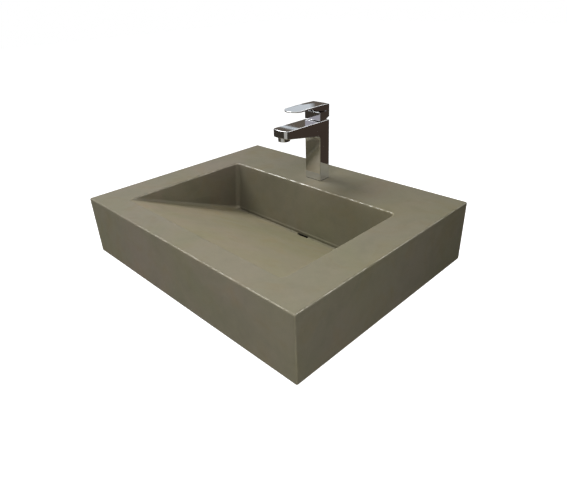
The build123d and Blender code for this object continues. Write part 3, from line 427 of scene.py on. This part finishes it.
looks = {
    "chrome": {
        "name": "polishedChrome", "tone": (0.80, 0.81, 0.82, 1), "film": (0.75, 0.76, 0.77, 1), "metal": 1,
        "filmScale": 26, "grainScale": 60, "roughness": (0.03, 0.075), "bump": 0.0, "depth": 0.00002,
        "dust": 0.0, "scuffs": 0.15,
    },
    "frame_paint": {
        "name": "framePowderCoat", "tone": (0.040, 0.041, 0.044, 1), "film": (0.062, 0.062, 0.063, 1),
        "filmScale": 14, "grainScale": 1100, "roughness": (0.38, 0.58), "bump": 0.45, "depth": 0.00025,
        "dust": 0.45, "scuffs": 0.6,
    },
    "black_plastic": {
        "name": "mouldedBlackPlastic", "tone": (0.026, 0.026, 0.028, 1), "film": (0.044, 0.043, 0.042, 1),
        "filmScale": 30, "grainScale": 1600, "roughness": (0.32, 0.48), "bump": 0.25, "depth": 0.0002,
        "dust": 0.35, "scuffs": 0.4,
    },
    "rubber": {
        "name": "mattRubber", "tone": (0.022, 0.022, 0.023, 1), "film": (0.045, 0.044, 0.042, 1),
        "filmScale": 45, "grainScale": 1300, "roughness": (0.68, 0.86), "bump": 0.3, "depth": 0.0002,
        "dust": 0.5, "scuffs": 0.0,
    },
    "steel": {
        "name": "stainlessSteel", "tone": (0.58, 0.575, 0.56, 1), "film": (0.47, 0.465, 0.45, 1), "metal": 1,
        "filmScale": 60, "grainScale": 900, "stretch": (1, 1, 0.12), "roughness": (0.18, 0.34), "bump": 0.12,
        "depth": 0.0001, "dust": 0.15, "scuffs": 0.3,
    },
    "brass": {
        "name": "machinedBrass", "tone": (0.64, 0.50, 0.26, 1), "film": (0.46, 0.33, 0.16, 1), "metal": 1,
        "filmScale": 70, "grainScale": 900, "stretch": (1, 1, 5), "roughness": (0.16, 0.32), "bump": 0.12,
        "depth": 0.0001, "dust": 0.1, "scuffs": 0.25,
    },
    "cartridge_plastic": {
        "name": "cartridgePlastic", "tone": (0.72, 0.73, 0.74, 1), "film": (0.64, 0.64, 0.62, 1),
        "filmScale": 60, "grainScale": 1500, "roughness": (0.30, 0.46), "bump": 0.15, "depth": 0.00015,
        "dust": 0.0, "scuffs": 0.2,
    },
    "disc_ceramic": {
        "name": "lappedCeramic", "tone": (0.86, 0.85, 0.82, 1), "film": (0.80, 0.79, 0.75, 1),
        "filmScale": 80, "grainScale": 1500, "roughness": (0.10, 0.20), "bump": 0.05, "depth": 0.00008,
        "dust": 0.0, "scuffs": 0.1, "coat": 0.2,
    },
}
finishes = {slot: makeFinish(look["name"], look) for slot, look in looks.items()}
finishes["concrete"] = makeConcrete()
for entry in frame["record"]["subparts"]:
    node = nodes[entry["node"]]
    node.data.materials.clear()
    node.data.materials.append(finishes[entry["material_slot"]])
print("finishes made:", len(finishes))

# Weld beads where the arms and gussets meet the rail and each other
beads = {
    "radius": 0.0019,
    "ripple": 0.09,
    "ripplePitch": 0.0024,
    "step": 0.0006,
    "ringSides": 10,
    "endShrink": 0.5,
    "gussetThickness": 0.005,
    "railGap": 0.002,
    "armGap": 0.003,
    "parallelLimit": 0.1,
}


def weldBead(name, corners, closed=False):
    points = [Vector(corner) for corner in corners]
    if closed:
        points.append(points[0])
    spots = []
    for start, end in zip(points, points[1:]):
        count = max(2, int((end - start).length / beads["step"]))
        spots += [start.lerp(end, k / count) for k in range(count)]
    if not closed:
        spots.append(points[-1])
    count, sides = len(spots), beads["ringSides"]
    verts, faces = [], []
    travelled = 0.0
    for k, spot in enumerate(spots):
        ahead = spots[(k + 1) % count] if closed else spots[min(k + 1, count - 1)]
        behind = spots[k - 1] if closed or k else spot
        along = (ahead - behind).normalized()
        side = Vector((0, 1, 0)).cross(along)
        if side.length < beads["parallelLimit"]:
            side = Vector((1, 0, 0))
        side.normalize()
        up = along.cross(side)
        wave = math.sin(math.tau * travelled / beads["ripplePitch"])
        radius = beads["radius"] * (1 + beads["ripple"] * wave)
        if not closed and k in (0, count - 1):
            radius *= beads["endShrink"]
        for n in range(sides):
            angle = math.tau * n / sides
            verts.append(spot + radius * (math.cos(angle) * side + math.sin(angle) * up))
        travelled += beads["step"]
    for k in range(count if closed else count - 1):
        for n in range(sides):
            here, there = k * sides, ((k + 1) % count) * sides
            after = (n + 1) % sides
            faces.append((here + n, here + after, there + after, there + n))
    if not closed:
        faces.append(tuple(reversed(range(sides))))
        faces.append(tuple((count - 1) * sides + n for n in range(sides)))
    mesh = bpy.data.meshes.new(name)
    mesh.from_pydata(verts, [], faces)
    mesh.shade_smooth()
    bead = bpy.data.objects.new(name, mesh)
    scene.collection.objects.link(bead)
    bead.data.materials.append(finishes["frame_paint"])
    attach(bead, "root")


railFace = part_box("wall_rail")[0][1]
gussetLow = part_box("arm_gussets")[0]
for arm in ("arm_left", "arm_right"):
    low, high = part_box(arm)
    outline = [(low[0], low[2]), (high[0], low[2]), (high[0], high[2]), (low[0], high[2])]
    side = arm.split("_")[1].capitalize()
    weldBead("railWeld" + side, [(x, railFace, z) for x, z in outline], closed=True)
    middle = (low[0] + high[0]) / 2
    for edge, offset in (("Inner", -0.5), ("Outer", 0.5)):
        x = middle + offset * beads["gussetThickness"]
        railEnds = (gussetLow[2] + beads["railGap"], low[2] - beads["railGap"])
        armEnds = (railFace - beads["armGap"], gussetLow[1] + beads["armGap"])
        weldBead("gussetWeldRail" + side + edge, [(x, railFace, z) for z in railEnds])
        weldBead("gussetWeldArm" + side + edge, [(x, y, low[2]) for y in armEnds])
print("weld beads made")

# Threaded rod that clamps the tap
rod = {
    "crest": 0.0040,
    "depth": 0.00065,
    "pitch": 0.00125,
    "sides": 36,
    "rowsPerTurn": 8,
    "endTaper": 0.0012,
}
rodLow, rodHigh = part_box("mounting_stud")
rodCentre = ((rodLow[0] + rodHigh[0]) / 2, (rodLow[1] + rodHigh[1]) / 2)
rodRows = int((rodHigh[2] - rodLow[2]) / rod["pitch"] * rod["rowsPerTurn"])
rodVerts, rodFaces = [], []
for row in range(rodRows + 1):
    z = rodLow[2] + (rodHigh[2] - rodLow[2]) * row / rodRows
    toEnd = min(z - rodLow[2], rodHigh[2] - z)
    most = rod["crest"] - rod["depth"] * max(0.0, 1 - toEnd / rod["endTaper"])
    for n in range(rod["sides"]):
        turnPart = n / rod["sides"]
        phase = (z / rod["pitch"] - turnPart) % 1.0
        radius = min(most, rod["crest"] - rod["depth"] * abs(2 * phase - 1))
        angle = math.tau * turnPart
        x = rodCentre[0] + radius * math.cos(angle)
        y = rodCentre[1] + radius * math.sin(angle)
        rodVerts.append((x, y, z))
for row in range(rodRows):
    for n in range(rod["sides"]):
        here, there = row * rod["sides"], (row + 1) * rod["sides"]
        after = (n + 1) % rod["sides"]
        rodFaces.append((here + n, here + after, there + after, there + n))
rodFaces.append(tuple(reversed(range(rod["sides"]))))
rodFaces.append(tuple(rodRows * rod["sides"] + n for n in range(rod["sides"])))
rodMesh = bpy.data.meshes.new("threadedRod")
rodMesh.from_pydata(rodVerts, [], rodFaces)
threadedRod = bpy.data.objects.new("threadedRod", rodMesh)
scene.collection.objects.link(threadedRod)
threadedRod.data.materials.append(finishes["steel"])
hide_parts("mounting_stud")
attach(threadedRod, "root")
print("threaded rod made")

# Floor, far below the hung sink, and clear when it is seen from beneath
stage = {"floorLevel": -0.80, "floorSize": 30, "floorTone": 0.6, "floorRoughness": 0.9}


def backdropGlow(tree):
    rays = addNode(tree, "ShaderNodeLightPath")
    mask = rays.outputs["Is Camera Ray"]
    for kind in ("Is Glossy Ray", "Is Transmission Ray"):
        mask = math2(tree, "MAXIMUM", mask, rays.outputs[kind])
    return mask


bpy.ops.mesh.primitive_plane_add(size=stage["floorSize"], location=(0, 0, stage["floorLevel"]))
floor = bpy.context.object
floor.name = "studioFloor"
floorMaterial, floorTree, floorShader = newMaterial("paleFloor")
floorShader.inputs["Base Color"].default_value = (stage["floorTone"],) * 3 + (1,)
floorShader.inputs["Roughness"].default_value = stage["floorRoughness"]
floorShader.inputs["Emission Color"].default_value = (1, 1, 1, 1)
floorTree.links.new(backdropGlow(floorTree), floorShader.inputs["Emission Strength"])
underneath = addNode(floorTree, "ShaderNodeNewGeometry").outputs["Backfacing"]
clearSide = floorTree.nodes.new("ShaderNodeBsdfTransparent")
sideInputs = {0: underneath, 1: floorShader.outputs[0], 2: clearSide.outputs[0]}
sides = addNode(floorTree, "ShaderNodeMixShader", sideInputs)
floorOutput = next(node for node in floorTree.nodes if node.type == "OUTPUT_MATERIAL")
floorTree.links.new(sides.outputs[0], floorOutput.inputs["Surface"])
floor.data.materials.append(floorMaterial)

# World: white where it is seen, soft grey where it lights
ambient = 0.12
world = bpy.data.worlds.new("studioWorld")
scene.world = world
world.use_nodes = True
worldTree = world.node_tree
worldTree.nodes.clear()
worldLevel = remap(worldTree, backdropGlow(worldTree), 0, 1, ambient, 1.0)
backgroundInputs = {"Color": (1, 1, 1, 1), "Strength": worldLevel}
background = addNode(worldTree, "ShaderNodeBackground", backgroundInputs)
worldOutput = addNode(worldTree, "ShaderNodeOutputWorld")
worldTree.links.new(background.outputs["Background"], worldOutput.inputs["Surface"])

# Lamps: a broad key lamp high on the left, and weaker boxes above, in front, at the right,
# behind and below. Only the key shows in mirrored light.
lamps = {
    "keyLamp": {"place": (-2.60, -0.70, 3.25), "aim": (0, -0.28, 0.03), "size": 2.0, "power": 110},
    "overheadBox": {"place": (0.5, -0.7, 1.0), "aim": (0, -0.28, 0.03), "size": 0.8, "power": 6.8},
    "frontBox": {"place": (-0.6, -2.0, -0.2), "aim": (0, -0.28, 0.03), "size": 1.2, "power": 4.6},
    "sideBox": {"place": (0.80, -1.00, -0.02), "aim": (0.3, -0.45, 0.0), "size": 0.45, "power": 1.35},
    "rearBox": {"place": (-0.1, 2.4, -0.45), "aim": (0, 0, 0), "size": 1.2, "power": 14},
    "underBox": {"place": (-0.1, -0.15, -0.76), "aim": (0, -0.25, -0.06), "size": 0.5, "power": 1.2},
}
for name, lamp in lamps.items():
    data = bpy.data.lights.new(name, "AREA")
    data.size = lamp["size"]
    data.energy = lamp["power"]
    light = bpy.data.objects.new(name, data)
    scene.collection.objects.link(light)
    light.location = lamp["place"]
    aim = Vector(lamp["aim"]) - Vector(lamp["place"])
    light.rotation_euler = aim.to_track_quat("-Z", "Y").to_euler()
    light.visible_glossy = name == "keyLamp"
    light.visible_camera = False

# Glowing cards that show in mirrored light alone: in the chrome, in the sealer on the edges and in the gloss
# of the concrete, whose front and sides they darken. The two glint cards glow brightly and make the glints
# on the sealed edges; the others stand for a dim room. Each lies flat across the axis that has one number.
cards = {
    "lowBackCard": {"x": (-2.4, 3.6), "y": 1.6, "z": (-0.80, 0.20), "colour": (0.050, 0.036, 0.028, 1)},
    "highBackCard": {"x": (-4.7, 1.0), "y": 1.7, "z": (0.25, 1.35), "colour": (0.30, 0.28, 0.27, 1)},
    "frontLeftCard": {"x": (-4.2, -0.9), "y": -2.6, "z": (0.1, 1.9), "colour": (0.44, 0.42, 0.47, 1)},
    "frontRightCard": {"x": (-0.9, 3.0), "y": -2.6, "z": (-0.7, 2.0), "colour": (0.42, 0.41, 0.38, 1)},
    "rearGlintCard": {"x": (0.9, 2.9), "y": 1.7, "z": (1.4, 3.0), "colour": (3.6, 3.5, 3.4, 1)},
    "frontGlintCard": {"x": (-4.6, -1.9), "y": -2.6, "z": (2.0, 3.6), "colour": (2.6, 2.55, 2.5, 1)},
    "rightSideCard": {"x": 3.4, "y": (-2.6, 1.7), "z": (-0.7, 2.2), "colour": (0.30, 0.29, 0.28, 1)},
    "leftSideCard": {"x": -4.8, "y": (-2.6, 1.7), "z": (-0.7, 3.0), "colour": (0.30, 0.29, 0.28, 1)},
    "lowFloorCard": {"x": (-4.5, 4.5), "y": (-4.5, 4.5), "z": -0.78, "colour": (0.045, 0.038, 0.030, 1)},
    "stripedCard": {"x": (-0.42, -0.13), "y": 0.12, "z": (0.25, 0.37), "colour": (0, 0, 0, 1)},
}
stripes = {
    "splitPlace": (-0.213, 0.285),
    "splitSlope": -0.436,
    "pale": (0.62, 0.66, 0.70, 1),
    "brown": (0.125, 0.105, 0.085, 1),
    "palerEnd": -0.216,
    "brownStart": -0.193,
    "lineLow": 0.2975,
    "lineHigh": 0.305,
    "splitSoftness": 0.0008,
    "lineSoftness": 0.0006,
}


# The bands are placed for the camera below, by what each part of the tap mirrors from there
def stripedTone(tree):
    spot = addNode(tree, "ShaderNodeSeparateXYZ", {"Vector": objectPlace(tree)})
    x, z = spot.outputs["X"], spot.outputs["Z"]
    along = math2(tree, "SUBTRACT", x, stripes["splitPlace"][0])
    rise = times(tree, along, stripes["splitSlope"])
    above = math2(tree, "SUBTRACT", z, math2(tree, "ADD", rise, stripes["splitPlace"][1]))
    upper = remap(tree, above, -stripes["splitSoftness"], stripes["splitSoftness"])
    towardBrown = remap(tree, x, stripes["palerEnd"], stripes["brownStart"])
    leverTone = mixColours(tree, towardBrown, stripes["pale"], stripes["brown"])
    line = band(tree, z, stripes["lineLow"], stripes["lineHigh"], stripes["lineSoftness"])
    spoutTone = mixColours(tree, line, stripes["brown"], stripes["pale"])
    return mixColours(tree, upper, spoutTone, leverTone)


for name, card in cards.items():
    first, second = [axis for axis in "xyz" if isinstance(card[axis], tuple)]
    corners = []
    for k, n in ((0, 0), (1, 0), (1, 1), (0, 1)):
        spot = {**card, first: card[first][k], second: card[second][n]}
        corners.append((spot["x"], spot["y"], spot["z"]))
    mesh = bpy.data.meshes.new(name)
    mesh.from_pydata(corners, [], [(0, 1, 2, 3)])
    plane = bpy.data.objects.new(name, mesh)
    scene.collection.objects.link(plane)
    material, tree, shader = newMaterial(name + "Tone")
    shader.inputs["Base Color"].default_value = (0, 0, 0, 1)
    shader.inputs["Specular IOR Level"].default_value = 0
    shader.inputs["Emission Color"].default_value = card["colour"]
    shader.inputs["Emission Strength"].default_value = 1
    if name == "stripedCard":
        tree.links.new(stripedTone(tree), shader.inputs["Emission Color"])
    plane.data.materials.append(material)
    plane.visible_camera = False
    plane.visible_diffuse = False
    plane.visible_shadow = False
    plane.visible_transmission = False

# Camera, solved from the edges of the block in the photograph
viewpoint = {
    "place": (0.65845, -0.83453, 0.44359),
    "right": (0.705220, 0.707910, -0.039082),
    "up": (-0.313912, 0.361196, 0.878064),
    "ahead": (-0.635707, 0.606960, -0.476944),
    "lens": 29.886,
    "sensor": 36,
}
cameraData = bpy.data.cameras.new("photoCamera")
cameraData.lens = viewpoint["lens"]
cameraData.sensor_width = viewpoint["sensor"]
cameraData.sensor_fit = "HORIZONTAL"
camera = bpy.data.objects.new("photoCamera", cameraData)
scene.collection.objects.link(camera)
right, up, back = Vector(viewpoint["right"]), Vector(viewpoint["up"]), -Vector(viewpoint["ahead"])
turn = Matrix((right, up, back)).transposed().to_4x4()
camera.matrix_world = Matrix.Translation(viewpoint["place"]) @ turn
scene.camera = camera
print("stage, lamps and camera made")
